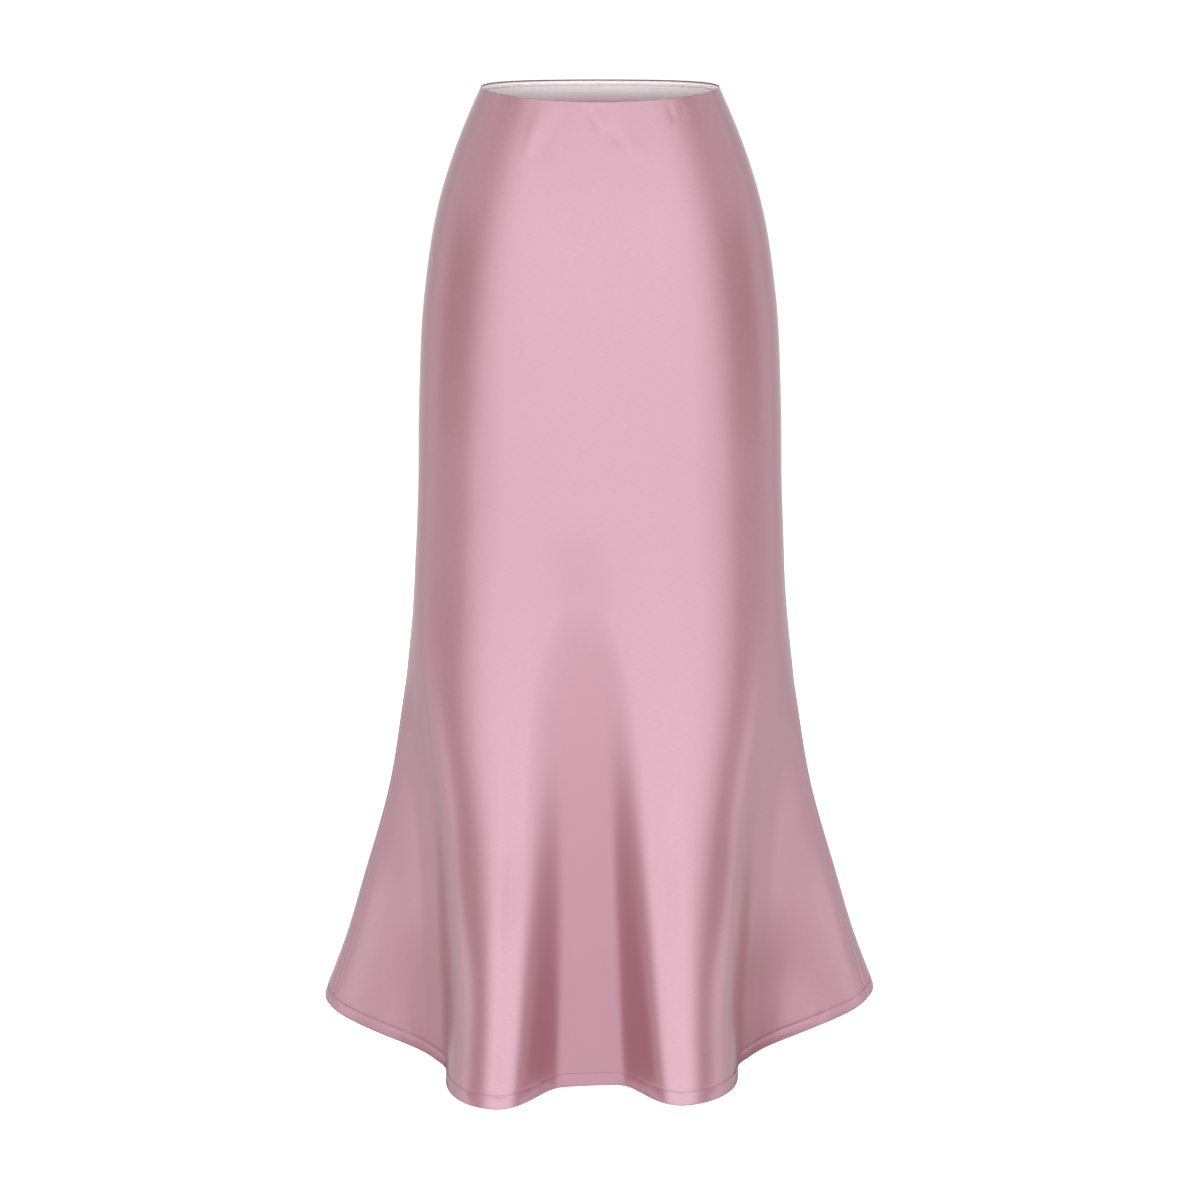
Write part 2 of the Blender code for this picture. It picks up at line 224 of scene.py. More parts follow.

# %% [markdown]
# Satin never hangs perfectly smooth. Elastic gathers its top edge into small puckers, and the
# bias stretches in long shallow drags. Each crease here is one row of a table: a soft trough or
# ridge with its own place, length, width, depth and slant. The side seams draw the cloth in
# along a narrow line.

# %% Creases
# at is metres of cloth across the panel from its middle, towards +X, and drop is the middle
# of the crease. slant leans its lower end towards +X, in degrees. Depth is in millimetres, and
# positive is a ridge.
Crease = namedtuple("Crease", "panel at drop length width depth slant")
CREASES = (
    Crease("front", -0.122, 0.015, 0.034, 0.0032, 0.42, -16.0),
    Crease("front", -0.112, 0.013, 0.028, 0.0030, -0.42, -12.0),
    Crease("front", -0.092, 0.010, 0.022, 0.0034, 0.30, -8.0),
    Crease("front", -0.062, 0.028, 0.074, 0.0062, 0.60, -20.0),
    Crease("front", -0.048, 0.034, 0.066, 0.0066, -0.42, -18.0),
    Crease("front", -0.007, 0.014, 0.030, 0.0036, -0.42, 24.0),
    Crease("front", 0.002, 0.019, 0.034, 0.0038, 0.34, 30.0),
    Crease("front", 0.015, 0.032, 0.046, 0.0066, -0.46, 44.0),
    Crease("front", 0.032, 0.042, 0.052, 0.0085, 0.36, 48.0),
    Crease("front", 0.068, 0.012, 0.026, 0.0034, -0.36, 14.0),
    Crease("front", 0.086, 0.011, 0.026, 0.0034, 0.38, 8.0),
    Crease("front", 0.108, 0.014, 0.034, 0.0036, -0.38, 14.0),
    Crease("front", 0.126, 0.015, 0.030, 0.0038, 0.34, 10.0),
    Crease("front", -0.006, 0.115, 0.110, 0.0045, -0.40, 3.0),
    Crease("front", -0.018, 0.100, 0.090, 0.0042, 0.30, 2.0),
    Crease("front", 0.004, 0.130, 0.090, 0.0042, 0.30, 4.0),
    Crease("front", 0.066, 0.206, 0.050, 0.0060, 0.40, 34.0),
    Crease("front", -0.430, 0.921, 0.034, 0.0050, -0.54, 18.0),
    Crease("front", -0.352, 0.924, 0.024, 0.0040, 0.36, -12.0),
    Crease("front", -0.240, 0.922, 0.030, 0.0045, -0.42, 10.0),
    Crease("front", -0.150, 0.925, 0.022, 0.0040, 0.30, 14.0),
    Crease("front", -0.066, 0.921, 0.032, 0.0040, 0.54, 12.0),
    Crease("front", -0.055, 0.924, 0.026, 0.0034, -0.36, 8.0),
    Crease("front", 0.020, 0.925, 0.022, 0.0045, 0.30, -10.0),
    Crease("front", 0.068, 0.921, 0.030, 0.0038, 0.51, -12.0),
    Crease("front", 0.078, 0.924, 0.024, 0.0034, -0.33, -8.0),
    Crease("front", 0.196, 0.924, 0.026, 0.0045, -0.36, 12.0),
    Crease("front", 0.300, 0.922, 0.028, 0.0045, 0.36, -14.0),
    Crease("front", 0.392, 0.923, 0.026, 0.0045, -0.36, 10.0),
    Crease("back", -0.124, 0.014, 0.030, 0.0034, 0.75, 12.0),
    Crease("back", -0.094, 0.012, 0.028, 0.0036, -0.70, 8.0),
    Crease("back", -0.064, 0.020, 0.042, 0.0050, 0.85, 20.0),
    Crease("back", -0.032, 0.014, 0.032, 0.0040, -0.70, 14.0),
    Crease("back", -0.006, 0.024, 0.046, 0.0055, 0.75, -6.0),
    Crease("back", 0.024, 0.014, 0.030, 0.0036, -0.80, -16.0),
    Crease("back", 0.050, 0.022, 0.044, 0.0055, 0.80, -22.0),
    Crease("back", 0.082, 0.012, 0.026, 0.0034, -0.65, -10.0),
    Crease("back", 0.112, 0.015, 0.032, 0.0038, 0.65, -12.0),
    Crease("back", 0.015, 0.300, 0.170, 0.0130, -1.00, -30.0),
    Crease("back", -0.025, 0.325, 0.160, 0.0140, -0.90, 34.0),
    Crease("back", 0.060, 0.385, 0.120, 0.0110, 0.60, -40.0),
    Crease("back", -0.390, 0.922, 0.030, 0.0045, -0.48, 14.0),
    Crease("back", -0.285, 0.924, 0.026, 0.0042, 0.36, -12.0),
    Crease("back", -0.160, 0.922, 0.030, 0.0045, -0.42, 10.0),
    Crease("back", -0.040, 0.925, 0.024, 0.0040, 0.36, 12.0),
    Crease("back", 0.090, 0.922, 0.030, 0.0045, -0.42, -12.0),
    Crease("back", 0.205, 0.924, 0.024, 0.0040, 0.36, 10.0),
    Crease("back", 0.330, 0.922, 0.030, 0.0045, -0.48, -14.0),
)
SEAM_DRAW = 0.0007
SEAM_WIDTH = 0.0022
MM = 0.001


def crease_push(panel, across, drop):
    """Outward push of the creases: depth times a bell curve across each one and times the
    square of one minus its squared length share along it."""
    push = np.zeros(np.broadcast(across, drop).shape)
    for crease in CREASES:
        if crease.panel != panel:
            continue
        lean = np.radians(crease.slant)
        right, down = across - crease.at, drop - crease.drop
        along = right * np.sin(lean) + down * np.cos(lean)
        side = right * np.cos(lean) - down * np.sin(lean)
        fade = np.clip(1.0 - (along / (crease.length / 2)) ** 2, 0.0, None) ** 2
        push += crease.depth * MM * fade * np.exp(-((side / crease.width) ** 2))
    return push


print(len(CREASES), "creases")

# %% [markdown]
# Each panel is one sheet, with its hem turned up inside. Its columns are shared out evenly by
# the cloth between the two seams, so they run the way the threads of a real panel do, and
# they crowd together near the seams where the cloth dips. The surface is a function of two
# parameters, the distance across the panel and the way down it, round the hem's edge and up
# again. Solidify then gives it the thickness of satin.

# %% Grid helpers
SEAM_GAP = 0.0003
RING_SAMPLES = 1441
SEAM_COLUMNS = np.array([0.5 * SEAM_GAP, 0.0009, 0.0018, 0.0028, 0.0042, 0.0065, 0.0100])
PANEL_ENDS = {"front": (RIGHT_SEAM, LEFT_SEAM), "back": (LEFT_SEAM, RIGHT_SEAM + FULL_TURN)}
# Across the front the cloth is measured towards +X, and across the back towards -X.
PANEL_SIGN = {"front": 1.0, "back": -1.0}


def run_round(ends, drop):
    """Close azimuths along one ring, and the length of cloth from the first to each: the
    running sum of the steps between neighbours."""
    fine = np.linspace(*ends, RING_SAMPLES)
    ring = skirt_points(fine, np.full_like(fine, drop))
    steps = np.linalg.norm(np.diff(ring, axis=0), axis=1)
    return fine, np.concatenate([[0.0], np.cumsum(steps)])


def panel_columns(panel, drop, middle_cells):
    """Azimuth of each column of one ring, and its distance across the cloth from the
    panel's middle: close columns at both seams, and even ones between."""
    fine, run = run_round(PANEL_ENDS[panel], drop)
    inner = np.linspace(SEAM_COLUMNS[-1], run[-1] - SEAM_COLUMNS[-1], middle_cells + 1)[1:-1]
    wanted = np.concatenate([SEAM_COLUMNS, inner, run[-1] - SEAM_COLUMNS[::-1]])
    return np.interp(wanted, run, fine), wanted - run[-1] / 2, run[-1]


def sheet_mesh(name, points, flat_uv, closed_round=False):
    """A smooth mesh of quads on rows of points, top row first, with a UV map in metres."""
    rows, columns = points.shape[:2]
    here = np.arange(rows * columns).reshape(rows, columns)
    right = np.roll(here, -1, axis=1) if closed_round else here[:, 1:]
    left = here if closed_round else here[:, :-1]
    quads = np.stack([left[1:], right[1:], right[:-1], left[:-1]], axis=-1).reshape(-1, 4)
    mesh = bpy.data.meshes.new(name)
    mesh.from_pydata(points.reshape(-1, 3).tolist(), [], quads.tolist())
    mesh.uv_layers.new(name="cloth")
    corners = np.empty(len(mesh.loops), dtype=np.int32)
    mesh.loops.foreach_get("vertex_index", corners)
    corner_uv = flat_uv.reshape(-1, 2)[corners].astype(np.float32)
    mesh.uv_layers["cloth"].data.foreach_set("uv", corner_uv.ravel())
    mesh.shade_smooth()
    return mesh


def add_piece(name, mesh, finish, replaced=()):
    """A finished piece: linked, given its material and attached to the root body. The CAD parts
    that it replaces are hidden.
    """
    piece = bpy.data.objects.new(name, mesh)
    bpy.context.scene.collection.objects.link(piece)
    mesh.materials.append(finish)
    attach(piece, "root")
    if replaced:
        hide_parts(*replaced)
    return piece


print("columns crowd at", (SEAM_COLUMNS / MM).round(2), "mm from each seam")

# %% [markdown]
# Next the finishes. Satin is woven from smooth polyester filament whose long floats lie side
# by side, so it shines broadly and softly, in its own colour more than in white. Cut on the
# bias, its floats run at 45 degrees. The real threads are a tenth of a millimetre apart, which
# no picture of a whole skirt can show, so the weave is drawn some twelve times too coarse and
# faint, as the fine grain that the eye does see. In a deep fold the walls light each other with
# light they have dyed and hide each other's lustre. That is painted in: by an attribute that the
# panels carry, the cloth there gets a painted fuller colour and a weaker lustre.

# %% Colour and node helpers
def linear(code):
    """An sRGB hex colour as linear red, green, blue and alpha."""
    share = np.array([int(code[i : i + 2], 16) for i in (1, 3, 5)]) / 255.0
    low = share / 12.92
    high = ((share + 0.055) / 1.055) ** 2.4
    return (*np.where(share <= 0.04045, low, high).tolist(), 1.0)


def node(tree, kind, links=None, **settings):
    """Adds a node. Settings are sockets, by name with _ for spaces, or else properties. Links
    join an output to one of the node's inputs."""
    made = tree.nodes.new(kind)
    for key, value in settings.items():
        socket = key.replace("_", " ")
        if socket in made.inputs:
            made.inputs[socket].default_value = value
        else:
            setattr(made, key, value)
    for socket, source in (links or {}).items():
        tree.links.new(source, made.inputs[socket])
    return made


def new_material(name):
    """An empty node material and its tree."""
    made = bpy.data.materials.new(name)
    made.use_nodes = True
    made.node_tree.nodes.clear()
    return made, made.node_tree


print("dusty pink is", np.round(linear("#CF9EAC")[:3], 3), "in linear light")

# %% Satin
GRAIN_MM = 1.2
GRAIN_STRETCH = 5.0
DRAG_MM = 70.0
# Colour and lustre painted into the folds, as painted light and painted shade.
PAINTED_FOLD_LIGHT_TONE = "#664249"
OPEN_LUSTRE = 1.0
PAINTED_FOLD_SHADE_LUSTRE = 0.44
SMOOTH_GLOSS = 0.274
DULL_GLOSS = 0.302


def satin():
    """Polyester satin: a coloured diffuse body under a broad, soft, slightly coloured lustre,
    with grain along the 45 degree floats and a slow unevenness of the hang. In a fold the walls
    light each other with light they have dyed, many times over, and hide each other's lustre, so
    there the colour is painted fuller and the lustre weaker, as painted light and shade."""
    made, tree = new_material("bias_cut_polyester_satin")
    cloth = node(tree, "ShaderNodeUVMap", uv_map="cloth")
    floats = node(
        tree,
        "ShaderNodeMapping",
        {"Vector": cloth.outputs["UV"]},
        Rotation=(0.0, 0.0, np.radians(45.0)),
        Scale=(1.0 / (GRAIN_STRETCH * GRAIN_MM * MM), 1.0 / (GRAIN_MM * MM), 1.0),
    )
    grain = node(tree, "ShaderNodeTexNoise", {"Vector": floats.outputs["Vector"]}, Scale=1.0, Detail=2.0)
    slow = node(
        tree,
        "ShaderNodeTexNoise",
        {"Vector": cloth.outputs["UV"]},
        Scale=1.0 / (DRAG_MM * MM),
        Detail=1.5,
    )
    tone = node(
        tree,
        "ShaderNodeMix",
        {"Factor": grain.outputs["Fac"]},
        data_type="RGBA",
        A=linear("#4D292C"),
        B=linear("#633B3E"),
    )
    # Painted light and shade in folds: the colour is painted fuller and the lustre weaker there.
    painted_fold_light = node(tree, "ShaderNodeAttribute", attribute_name="painted_fold_light")
    painted_fold_tone = node(
        tree,
        "ShaderNodeMix",
        {"Factor": painted_fold_light.outputs["Fac"], "A": tone.outputs["Result"]},
        data_type="RGBA",
        B=linear(PAINTED_FOLD_LIGHT_TONE),
    )
    lustre = node(
        tree,
        "ShaderNodeMapRange",
        {"Value": painted_fold_light.outputs["Fac"]},
        To_Min=OPEN_LUSTRE,
        To_Max=PAINTED_FOLD_SHADE_LUSTRE,
    )
    gloss = node(
        tree,
        "ShaderNodeMapRange",
        {"Value": slow.outputs["Fac"]},
        To_Min=SMOOTH_GLOSS,
        To_Max=DULL_GLOSS,
    )
    relief = node(
        tree,
        "ShaderNodeBump",
        {"Height": grain.outputs["Fac"]},
        Strength=0.04,
        Distance=0.0004,
    )
    shader = node(
        tree,
        "ShaderNodeBsdfPrincipled",
        {
            "Base Color": painted_fold_tone.outputs["Result"],
            "Roughness": gloss.outputs["Result"],
            "Specular IOR Level": lustre.outputs["Result"],
            "Normal": relief.outputs["Normal"],
        },
        IOR=1.64,
        Specular_Tint=linear("#FFE3F8"),
    )
    node(tree, "ShaderNodeOutputMaterial", {"Surface": shader.outputs["BSDF"]})
    return made


satin_finish = satin()
print("made", satin_finish.name)

# %% [markdown]
# The band inside the waist is woven elastic, nearly white. Rubber cores run along it, so its
# face is a stack of fine level ribs, and it is matt: its cotton and polyester cover scatters
# the light.

# %% Elastic and thread
RIB_MM = 1.6
# A wave texture draws about this many waves for each unit at a scale of one.
WAVES_PER_UNIT = 3.18
# Between these depths the band is painted greyish pink, as painted shade and bounce light.
BOUNCE_SHADE_FROM = 0.005
BOUNCE_SHADE_TO = 0.025
SHADED_FROM = 0.0008
SHADED_TO = 0.0015
PLY_MM = 0.5


def woven_elastic():
    """Woven elastic: matt near-white with level ribs, painted lighter on their crowns. Towards its
    lower edge it is painted a greyish pink, as painted shade and pink light bounced off the satin.
    Its top edge lies in the fold of the satin and is painted darker, as that fold's shade."""
    made, tree = new_material("woven_elastic")
    cloth = node(tree, "ShaderNodeUVMap", uv_map="cloth")
    ribs = node(
        tree,
        "ShaderNodeTexWave",
        {"Vector": cloth.outputs["UV"]},
        bands_direction="Y",
        wave_profile="SIN",
        Scale=1.0 / (RIB_MM * MM) / WAVES_PER_UNIT,
        Distortion=0.6,
        Detail=1.0,
        Detail_Scale=2.0,
    )
    # Painted light: the crowns of the ribs are painted lighter than the troughs between them.
    tone = node(
        tree,
        "ShaderNodeMix",
        {"Factor": ribs.outputs["Fac"]},
        data_type="RGBA",
        A=linear("#E2DADC"),
        B=linear("#EEE8EA"),
    )
    height = node(tree, "ShaderNodeSeparateXYZ", {"Vector": cloth.outputs["UV"]})
    # Painted shade and painted pink bounce light, growing towards the band's lower edge.
    painted_bounce_shade = node(
        tree,
        "ShaderNodeMapRange",
        {"Value": height.outputs["Y"]},
        From_Min=-BOUNCE_SHADE_TO,
        From_Max=-BOUNCE_SHADE_FROM,
        To_Min=1.0,
        To_Max=0.0,
    )
    bounce_shaded_tone = node(
        tree,
        "ShaderNodeMix",
        {"Factor": painted_bounce_shade.outputs["Result"], "A": tone.outputs["Result"]},
        data_type="RGBA",
        B=linear("#AD919A"),
    )
    # Painted shade: the band's top edge is painted a darker greyish pink, for the satin fold over it.
    edge = node(
        tree,
        "ShaderNodeMapRange",
        {"Value": height.outputs["Y"]},
        From_Min=-SHADED_TO,
        From_Max=-SHADED_FROM,
        To_Min=0.0,
        To_Max=1.0,
    )
    shaded = node(
        tree,
        "ShaderNodeMix",
        {"Factor": edge.outputs["Result"], "A": bounce_shaded_tone.outputs["Result"]},
        data_type="RGBA",
        B=linear("#A9989E"),
    )
    relief = node(tree, "ShaderNodeBump", {"Height": ribs.outputs["Fac"]}, Strength=0.5, Distance=0.0003)
    shader = node(
        tree,
        "ShaderNodeBsdfPrincipled",
        {"Base Color": shaded.outputs["Result"], "Normal": relief.outputs["Normal"]},
        Roughness=0.8,
        IOR=1.5,
        Sheen_Weight=0.2,
    )
    node(tree, "ShaderNodeOutputMaterial", {"Surface": shader.outputs["BSDF"]})
    return made


def sewing_thread(name, dark, light):
    """Spun polyester thread: two plies twisted together, seen as slanting light and dark."""
    made, tree = new_material(name)
    place = node(tree, "ShaderNodeTexCoord")
    plies = node(
        tree,
        "ShaderNodeTexNoise",
        {"Vector": place.outputs["Object"]},
        Scale=1.0 / (PLY_MM * MM),
        Detail=1.0,
    )
    tone = node(
        tree,
        "ShaderNodeMix",
        {"Factor": plies.outputs["Fac"]},
        data_type="RGBA",
        A=linear(dark),
        B=linear(light),
    )
    shader = node(
        tree,
        "ShaderNodeBsdfPrincipled",
        {"Base Color": tone.outputs["Result"]},
        Roughness=0.75,
        IOR=1.5,
        Specular_IOR_Level=0.2,
    )
    node(tree, "ShaderNodeOutputMaterial", {"Surface": shader.outputs["BSDF"]})
    return made


elastic_finish = woven_elastic()
pink_thread = sewing_thread("pink_polyester_thread", "#5E3440", "#774553")
pale_thread = sewing_thread("pale_polyester_thread", "#BCA8AD", "#D2C2C6")
print("made", elastic_finish.name, "and", pink_thread.name, "and", pale_thread.name)

# %% [markdown]
# Now the two panels themselves. The hem of the real skirt is turned up by 12 millimetres and
# stitched, so the sheet goes down to the edge, round a tight half circle and up inside again.

# %% Build the panels
HEM_TURN = 0.012
HEM_RADIUS = 0.0007
SATIN_THICK = 0.0004
STITCH_UP = 0.0113
MIDDLE_CELLS = 214
WAIST_DROPS = np.concatenate([[0.0, 0.0003], np.linspace(0.002, 0.060, 30)])
BODY_DROPS = np.linspace(0.060, LENGTH - 0.020, 122)[1:]
HEM_DROPS = np.linspace(LENGTH - 0.020, LENGTH - HEM_RADIUS, 16)[1:]
STITCH_DENT = 0.00022
DENT_HALF = 0.0009
HEM_SWELL = 0.00012
SWELL_HALF = 0.0028


def panel_path():
    """The way down a panel as three columns: drop, inset from the outside, and distance
    along the cloth. The hem's edge is half a circle of points, and then comes the way up."""
    down = np.concatenate([WAIST_DROPS, BODY_DROPS, HEM_DROPS])
    angle = np.linspace(0.0, np.pi, 9)[1:]
    edge_drop = LENGTH - HEM_RADIUS + HEM_RADIUS * np.sin(angle)
    edge_inset = HEM_RADIUS * (1.0 - np.cos(angle))
    up = LENGTH - HEM_RADIUS - np.linspace(0.0, HEM_TURN, 6)[1:]
    drop = np.concatenate([down, edge_drop, up])
    inset = np.concatenate([np.zeros_like(down), edge_inset, np.full_like(up, 2 * HEM_RADIUS)])
    edge_along = down[-1] + HEM_RADIUS * angle
    along = np.concatenate([down, edge_along, edge_along[-1] + down[-1] - up])
    return drop, inset, along


def build_panel(panel, replaced):
    """One panel as a sheet: skirt points on even columns, moved along the normal by the
    creases, the dip at the seams, the dent of the topstitching, the swell of the double hem
    below it and the inset of the hem's inside."""
    drop, inset, along = panel_path()
    rings = [panel_columns(panel, value, MIDDLE_CELLS) for value in drop]
    azimuth = np.array([ring[0] for ring in rings])
    across = np.array([ring[1] for ring in rings]) * PANEL_SIGN[panel]
    half = np.array([ring[2] for ring in rings])[:, None] / 2
    drops = np.broadcast_to(drop[:, None], azimuth.shape)
    to_seam = half - np.abs(across)
    push = crease_push(panel, across, drops)
    push = push - SEAM_DRAW * np.exp(-((to_seam / SEAM_WIDTH) ** 2))
    above_edge = LENGTH - drops
    push = push - STITCH_DENT * np.exp(-(((above_edge - STITCH_UP) / DENT_HALF) ** 2))
    push = push + HEM_SWELL * np.exp(-(((above_edge - STITCH_UP / 2) / SWELL_HALF) ** 2))
    move = push - inset[:, None] - SATIN_THICK / 2
    points = skirt_points(azimuth, drops) + skirt_normals(azimuth, drops) * move[..., None]
    flat_uv = np.stack([across, np.broadcast_to(-along[:, None], across.shape)], axis=-1)
    mesh = sheet_mesh(panel + "_satin", points, flat_uv)
    # Each point carries how much painted fold light and shade the satin gets there.
    painted_fold_light = mesh.attributes.new("painted_fold_light", "FLOAT", "POINT")
    painted_fold_light.data.foreach_set("value", painted_fold_light_share(azimuth, drops).astype(np.float32).ravel())
    piece = add_piece(panel + "_satin", mesh, satin_finish, replaced)
    wall = piece.modifiers.new("thickness", "SOLIDIFY")
    wall.thickness = SATIN_THICK
    wall.offset = 0.0
    print(piece.name, "has", len(mesh.polygons), "quads in", points.shape[0], "rows")
    return piece


front_satin = build_panel("front", ["front_panel"])
back_satin = build_panel("back", ["back_panel"])

# %% [markdown]
# The elastic is a ring of its own, set just inside the cloth and a little below its edge, so
# that a thin line of satin shows above it. A stretched band has tiny ripples where the
# stitches hold it.

# %% Build the elastic
ELASTIC_WALL = 0.0012
ELASTIC_HEIGHT = 0.032
ELASTIC_SETBACK = 0.0008
BAND_COLUMNS = 480
BAND_ROWS = 17
RIPPLE_MM = 0.12
RIPPLES = 88
BAND_MEAN_RADIUS = 0.104


def build_elastic():
    """The band: skirt points just under the waist edge, moved in by the wall it stands for,
    with ripples that are a sine of the azimuth and fade down the band."""
    azimuth, drop = np.meshgrid(
        np.linspace(0.0, FULL_TURN, BAND_COLUMNS, endpoint=False),
        np.linspace(ELASTIC_SETBACK, ELASTIC_SETBACK + ELASTIC_HEIGHT, BAND_ROWS),
    )
    uneven = 1.0 + 0.5 * np.sin(np.radians(5.0 * azimuth)) * np.cos(np.radians(3.0 * azimuth + 40.0))
    fade = 1.0 - 0.6 * (drop - ELASTIC_SETBACK) / ELASTIC_HEIGHT
    ripple = RIPPLE_MM * MM * uneven * fade * np.sin(np.radians(RIPPLES * azimuth))
    inset = SATIN_THICK + SEAM_GAP + 2 * RIPPLE_MM * MM - ripple
    points = skirt_points(azimuth, drop) - skirt_normals(azimuth, drop) * inset[..., None]
    across = np.radians(azimuth) * BAND_MEAN_RADIUS
    mesh = sheet_mesh("waist_elastic_band", points, np.stack([across, -drop], axis=-1), closed_round=True)
    piece = add_piece("waist_elastic_band", mesh, elastic_finish, ["waist_elastic"])
    wall = piece.modifiers.new("thickness", "SOLIDIFY")
    wall.thickness = ELASTIC_WALL - 2 * RIPPLE_MM * MM
    wall.offset = -1.0
    return piece


elastic_band = build_elastic()
print(elastic_band.name, "is", round(ELASTIC_HEIGHT / MM), "mm wide")

# %% [markdown]
# Topstitching is a row of short thread bridges that dive into the cloth at both ends. Each is
# a small arched capsule, and the whole row is one joined mesh, made from arrays: a template of
# a few dozen faces is turned and placed once for each stitch.

# %% Stitches
STITCH_LONG = 0.0018
STITCH_GAP = 0.0010
THREAD = 0.00032
CAPSULE_SIDES = 6
CAPSULE_RINGS = 5
CAPSULE_TIP = 0.02
ARCH_RISE = 0.9
ARCH_SINK = 0.5
SMALL_TURN = 0.05
STITCH_PROUD = 0.0001


def stitch_template():
    """A stitch along x: rings of radius one that shrink to its ends, on an arch. The radius is
    the root of one minus the fourth power of the way along, and the arch is a parabola."""
    t = np.linspace(-1.0, 1.0, CAPSULE_RINGS + 2)
    radius = np.sqrt(np.clip(1.0 - t**4, 0.0, 1.0)) * (1.0 - CAPSULE_TIP) + CAPSULE_TIP
    angle = np.linspace(0.0, 2 * np.pi, CAPSULE_SIDES, endpoint=False)
    side = radius[:, None] * np.cos(angle)
    height = radius[:, None] * np.sin(angle) + ARCH_RISE * (1.0 - t[:, None] ** 2) - ARCH_SINK
    points = np.stack([np.broadcast_to(t[:, None], side.shape), side, height], axis=-1)
    here = np.arange(side.size).reshape(side.shape)
    right = np.roll(here, -1, axis=1)
    quads = np.stack([here[:-1], here[1:], right[1:], right[:-1]], axis=-1).reshape(-1, 4)
    return points.reshape(-1, 3), quads, here[0], here[-1]


def stitch_row(name, middles, along, outward, long_half, finish, slot):
    """A joined row of stitches: each template point is placed by its stitch's three axes."""
    points, quads, first, last = stitch_template()
    side = np.cross(outward, along)
    placed = (
        middles[:, None]
        + points[None, :, :1] * along[:, None] * long_half
        + points[None, :, 1:2] * side[:, None] * THREAD
        + points[None, :, 2:] * outward[:, None] * THREAD
    )
    shift = np.arange(len(middles))[:, None, None] * len(points)
    faces = (quads[None] + shift).reshape(-1, 4).tolist()
    caps = [first[::-1], last]
    for cap in caps:
        faces += (cap[None] + shift[:, :, 0]).tolist()
    mesh = bpy.data.meshes.new(name)
    mesh.from_pydata(placed.reshape(-1, 3).tolist(), [], faces)
    mesh.shade_smooth()
    return add_piece(name, mesh, finish)


def stitches_round(panel, drop, lift):
    """Middles, directions and outward vectors of stitches along one panel at a drop."""
    fine, run = run_round(PANEL_ENDS[panel], drop)
    count = int((run[-1] - STITCH_GAP) / (STITCH_LONG + STITCH_GAP))
    at = np.interp((np.arange(count) + 0.5) / count * run[-1], run, fine)
    level = np.full_like(at, drop)
    outward = skirt_normals(at, level)
    along = skirt_points(at + SMALL_TURN, level) - skirt_points(at - SMALL_TURN, level)
    along = along / np.linalg.norm(along, axis=1, keepdims=True)
    return skirt_points(at, level) + outward * lift, along, outward


for panel_name in ("front", "back"):
    stitch_row(
            panel_name + "_hem_stitches",
            *stitches_round(panel_name, LENGTH - STITCH_UP, STITCH_PROUD - STITCH_DENT),
            STITCH_LONG / 2,
            pink_thread,
            "satin",
        )

# %% [markdown]
# The band is held by a zigzag near its top edge. From inside it reads as a dotted line on the
# elastic, two or three millimetres below the satin's edge.

# %% Zigzag on the band
ZIGZAG_DROP = 0.0046
ZIGZAG_HALF = 0.0011
ZIGZAG_STEP = 0.0022


def zigzag_row(name):
    """Stitches that lean one way and then the other round the inside of the band."""
    fine, run = run_round((0.0, FULL_TURN), ZIGZAG_DROP)
    count = 2 * int(run[-1] / ZIGZAG_STEP / 2)
    at = np.interp((np.arange(count) + 0.5) / count * run[-1], run, fine)
    level = np.full_like(at, ZIGZAG_DROP)
    inward = -skirt_normals(at, level)
    round_it = skirt_points(at + SMALL_TURN, level) - skirt_points(at - SMALL_TURN, level)
    round_it = round_it / np.linalg.norm(round_it, axis=1, keepdims=True)
    up = np.cross(round_it, inward)
    lean = np.where(np.arange(count) % 2 == 0, 1.0, -1.0)[:, None]
    along = round_it * ZIGZAG_STEP / 2 + up * lean * ZIGZAG_HALF
    size = np.linalg.norm(along, axis=1, keepdims=True)
    inset = SATIN_THICK + SEAM_GAP + ELASTIC_WALL + STITCH_PROUD
    middles = skirt_points(at, level) + inward * inset
    return stitch_row(name, middles, along / size, inward, float(size.mean()), pale_thread, "elastic")


zigzag = zigzag_row("elastic_zigzag")
print(zigzag.name, "has", len(zigzag.data.polygons), "faces")

# %% [markdown]
# Both panels are sheets of cloth that hang from the waist.

print("two sheets hang from the waist")

# %% [markdown]
# The studio is a pale floor far below the skirt, a pale paper backdrop and big soft lights. A
# wide wall of light in front, 110 degrees across, gives satin its broad bright face. Where the
# cloth turns away past about 30 degrees it mirrors the dim sides of the room, and that is what
# makes the dark bands along the hips. Light from behind lifts the very edges again.

# %% Floor and world
FLOOR_DROP = 1.35
FLOOR_SIZE = 120.0
PATCHES_PER_METRE = 0.6


def pale_floor():
    """A matt painted studio floor, with a faint unevenness of its paint."""
    made, tree = new_material("matt_floor_paint")
    place = node(tree, "ShaderNodeTexCoord")
    patch = node(
        tree,
        "ShaderNodeTexNoise",
        {"Vector": place.outputs["Object"]},
        Scale=PATCHES_PER_METRE,
        Detail=1.0,
    )
    tone = node(
        tree,
        "ShaderNodeMix",
        {"Factor": patch.outputs["Fac"]},
        data_type="RGBA",
        A=linear("#F6F6F6"),
        B=linear("#FAFAFA"),
    )
    shader = node(
        tree,
        "ShaderNodeBsdfPrincipled",
        {"Base Color": tone.outputs["Result"]},
        Roughness=0.9,
    )
    node(tree, "ShaderNodeOutputMaterial", {"Surface": shader.outputs["BSDF"]})
    return made


